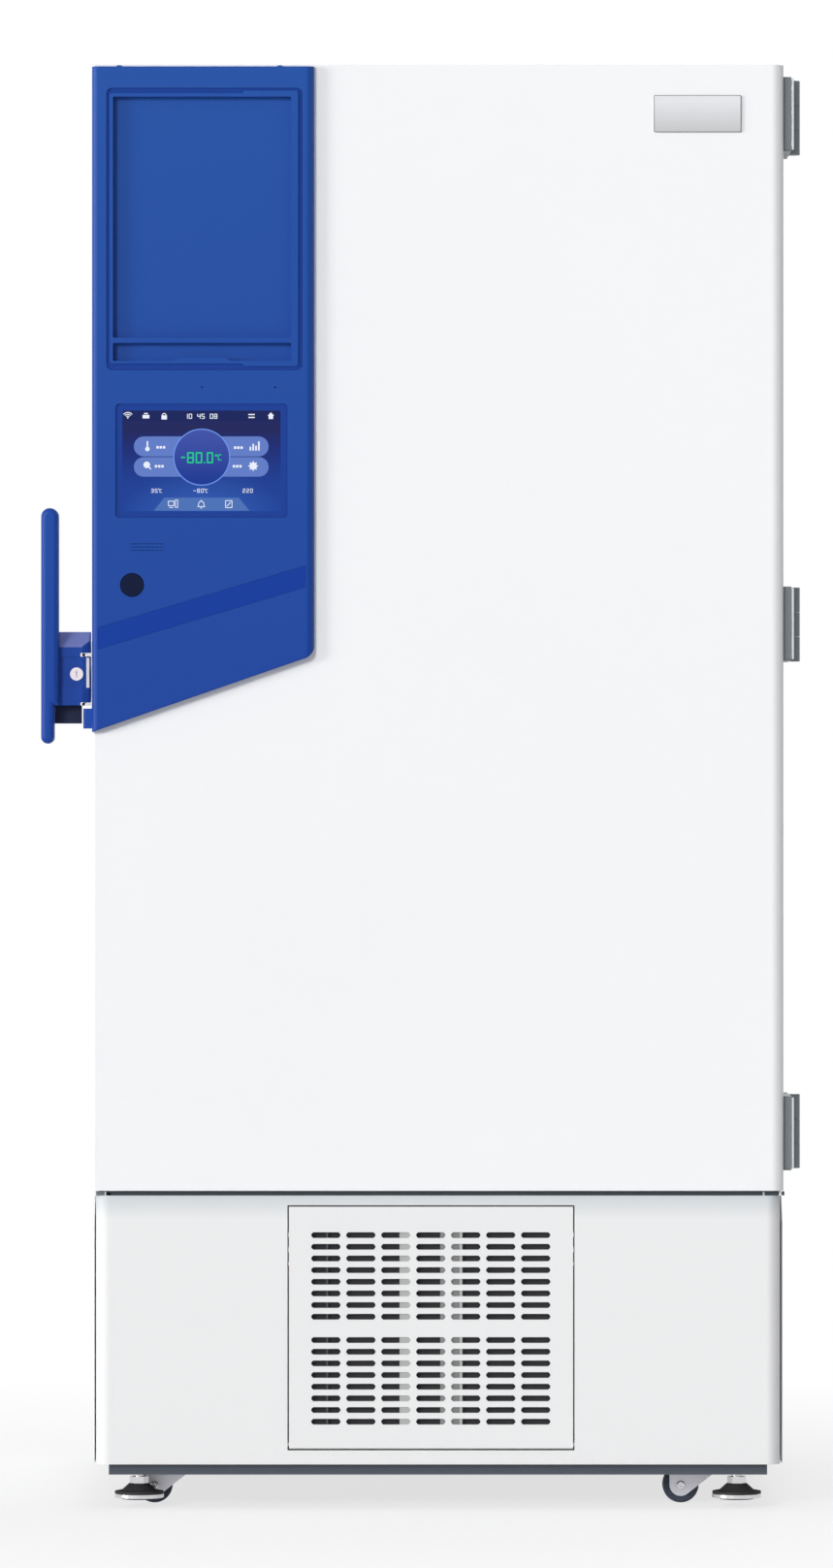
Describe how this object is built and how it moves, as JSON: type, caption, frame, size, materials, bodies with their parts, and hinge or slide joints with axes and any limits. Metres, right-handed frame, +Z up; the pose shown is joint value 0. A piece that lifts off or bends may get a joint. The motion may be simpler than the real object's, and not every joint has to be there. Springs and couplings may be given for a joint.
{
  "type": "ultra low temperature freezer",
  "caption": "Upright laboratory ultra low temperature freezer with an insulated swing door, lever latch, touch panel fascia, inner doors, grille door, casters and levelling feet.",
  "frame": {"origin": "middle of the footprint's bounding box, at floor level under the casters", "axes": "+Z up, -Y out of the door, +X to the right as seen from the front"},
  "size_m": [1.045, 1, 1.98],
  "materials": {
    "white_paint": "powder coated white",
    "panel_paint": "powder coated light grey",
    "galvanised": "galvanised sheet",
    "stainless": "brushed stainless",
    "steel_dark": "dark painted steel",
    "steel_bright": "plated steel",
    "hinge_grey": "grey painted casting",
    "foam": "rigid foam",
    "white_plastic": "moulded white",
    "inner_white": "painted inner door",
    "blue_plastic": "satin blue moulding",
    "blue_dark": "darker blue inlay",
    "black_plastic": "black moulding",
    "screen_glass": "lit screen glass",
    "badge": "bare bevelled plate",
    "seal_rubber": "soft seal",
    "black_rubber": "black rubber",
    "copper": "copper tube",
    "aluminium": "aluminium fins",
    "fork_grey": "pale plated fork",
    "wheel_grey": "slate nylon wheel"
  },
  "bodies": {
    "cabinet": {"outer_shell": "white_paint", "rear_panel": "galvanised", "access_port_sleeve": "white_plastic", "wall_spacers": "black_plastic", "insulation": "foam", "inner_liner": "stainless", "evaporator_coil": "copper", "breaker_frame": "white_plastic", "inner_seals": "seal_rubber", "shelves": "stainless", "shelf_supports": "stainless", "base_frame": "steel_dark", "lower_front_panel": "panel_paint", "rear_grille": "galvanised", "power_inlet": "black_plastic", "condenser": "aluminium", "fan_shroud": "galvanised", "fan_motor": "steel_dark", "compressors": "steel_dark", "compressor_mounts": "black_rubber", "oil_separator": "steel_dark", "refrigerant_pipes": "copper", "control_box": "galvanised", "hinge_body_leaves": "hinge_grey", "strike": "steel_bright"},
    "condenser_fan": {"fan_blades": "aluminium"},
    "power_switch": {"power_switch_rocker": "black_plastic"},
    "door": {"door_skin": "white_paint", "door_insulation": "foam", "door_liner": "white_plastic", "door_gasket": "seal_rubber", "control_fascia": "blue_plastic", "document_tray": "blue_plastic", "display_bezel": "blue_plastic", "display_screen": "screen_glass", "status_strip": "blue_dark", "card_reader_window": "black_plastic", "nameplate": "badge", "hinge_door_leaves": "hinge_grey", "handle_bracket": "steel_bright", "handle_base": "blue_plastic"},
    "handle": {"handle_lever": "blue_plastic", "latch_claw": "steel_bright"},
    "lock": {"lock_plug": "steel_bright"},
    "inner_door_low": {"inner_door_lower": "inner_white"},
    "inner_door_up": {"inner_door_upper": "inner_white"},
    "grille_door": {"grille_panel": "panel_paint", "air_filter": "black_plastic"},
    "caster_front_left": {"caster_fork_front_left": "fork_grey"},
    "wheel_front_left": {"caster_wheel_front_left": "wheel_grey"},
    "caster_front_right": {"caster_fork_front_right": "fork_grey"},
    "wheel_front_right": {"caster_wheel_front_right": "wheel_grey"},
    "caster_rear_left": {"caster_fork_rear_left": "fork_grey"},
    "wheel_rear_left": {"caster_wheel_rear_left": "wheel_grey"},
    "caster_rear_right": {"caster_fork_rear_right": "fork_grey"},
    "wheel_rear_right": {"caster_wheel_rear_right": "wheel_grey"},
    "foot_left": {"foot_pad_left": "steel_bright"},
    "foot_stud_left": {"foot_screw_left": "steel_bright"},
    "foot_right": {"foot_pad_right": "steel_bright"},
    "foot_stud_right": {"foot_screw_right": "steel_bright"}
  },
  "joints": [
    {"name": "door_hinge", "type": "hinge", "parent": "cabinet", "child": "door", "pos_m": [0.5105, -0.391, 1.2145], "axis": [0, 0, 1], "range_deg": [0, 110]},
    {"name": "handle_turn", "type": "hinge", "parent": "door", "child": "handle", "pos_m": [-0.4605, -0.44, 1.14], "axis": [0, 0, 1], "range_deg": [0, 45]},
    {"name": "lock_turn", "type": "hinge", "parent": "handle", "child": "lock", "pos_m": [-0.474, -0.455, 1.1454], "axis": [0, 1, 0], "range_deg": [0, 90]},
    {"name": "inner_door_low_hinge", "type": "hinge", "parent": "cabinet", "child": "inner_door_low", "pos_m": [0.3115, -0.364, 0.85], "axis": [0, 0, 1], "range_deg": [0, 96]},
    {"name": "inner_door_up_hinge", "type": "hinge", "parent": "cabinet", "child": "inner_door_up", "pos_m": [0.3115, -0.364, 1.52], "axis": [0, 0, 1], "range_deg": [0, 96]},
    {"name": "grille_hinge", "type": "hinge", "parent": "cabinet", "child": "grille_door", "pos_m": [0.0129, -0.464, 0.0876], "axis": [1, 0, 0], "range_deg": [0, 80]},
    {"name": "fan_spin", "type": "hinge", "parent": "cabinet", "child": "condenser_fan", "pos_m": [0.0129, -0.343, 0.23225], "axis": [0, 1, 0], "continuous": true},
    {"name": "switch_rock", "type": "hinge", "parent": "cabinet", "child": "power_switch", "pos_m": [0.2945, 0.482, 0.0964], "axis": [1, 0, 0], "range_deg": [-7, 7]},
    {"name": "caster_front_left_swivel", "type": "hinge", "parent": "cabinet", "child": "caster_front_left", "pos_m": [-0.3415, -0.36, 0.046], "axis": [0, 0, 1], "continuous": true},
    {"name": "wheel_front_left_roll", "type": "hinge", "parent": "caster_front_left", "child": "wheel_front_left", "pos_m": [-0.3695, -0.36, 0.025], "axis": [0, 1, 0], "continuous": true},
    {"name": "caster_front_right_swivel", "type": "hinge", "parent": "cabinet", "child": "caster_front_right", "pos_m": [0.3865, -0.36, 0.046], "axis": [0, 0, 1], "continuous": true},
    {"name": "wheel_front_right_roll", "type": "hinge", "parent": "caster_front_right", "child": "wheel_front_right", "pos_m": [0.3585, -0.36, 0.025], "axis": [0, 1, 0], "continuous": true},
    {"name": "caster_rear_left_swivel", "type": "hinge", "parent": "cabinet", "child": "caster_rear_left", "pos_m": [-0.3415, 0.4, 0.046], "axis": [0, 0, 1], "continuous": true},
    {"name": "wheel_rear_left_roll", "type": "hinge", "parent": "caster_rear_left", "child": "wheel_rear_left", "pos_m": [-0.3695, 0.4, 0.025], "axis": [0, 1, 0], "continuous": true},
    {"name": "caster_rear_right_swivel", "type": "hinge", "parent": "cabinet", "child": "caster_rear_right", "pos_m": [0.3865, 0.4, 0.046], "axis": [0, 0, 1], "continuous": true},
    {"name": "wheel_rear_right_roll", "type": "hinge", "parent": "caster_rear_right", "child": "wheel_rear_right", "pos_m": [0.3585, 0.4, 0.025], "axis": [0, 1, 0], "continuous": true},
    {"name": "foot_left_lift", "type": "slide", "parent": "cabinet", "child": "foot_left", "axis": [0, 0, 1], "range_m": [-0.018, 0.001]},
    {"name": "foot_left_screw", "type": "hinge", "parent": "foot_left", "child": "foot_stud_left", "pos_m": [-0.3885, -0.44, 0.04], "axis": [0, 0, 1], "range_deg": [-3600, 180]},
    {"name": "foot_right_lift", "type": "slide", "parent": "cabinet", "child": "foot_right", "axis": [0, 0, 1], "range_m": [-0.018, 0.001]},
    {"name": "foot_right_screw", "type": "hinge", "parent": "foot_right", "child": "foot_stud_right", "pos_m": [0.4335, -0.44, 0.04], "axis": [0, 0, 1], "range_deg": [-3600, 180]}
  ],
  "couplings": [
    {"joint": "inner_door_low_hinge", "follows": "door_hinge", "ratio": 0.86364},
    {"joint": "inner_door_up_hinge", "follows": "door_hinge", "ratio": 0.86364},
    {"joint": "foot_left_lift", "follows": "foot_left_screw", "m_per_rad": 0.00027852},
    {"joint": "foot_right_lift", "follows": "foot_right_screw", "m_per_rad": 0.00027852}
  ]
}
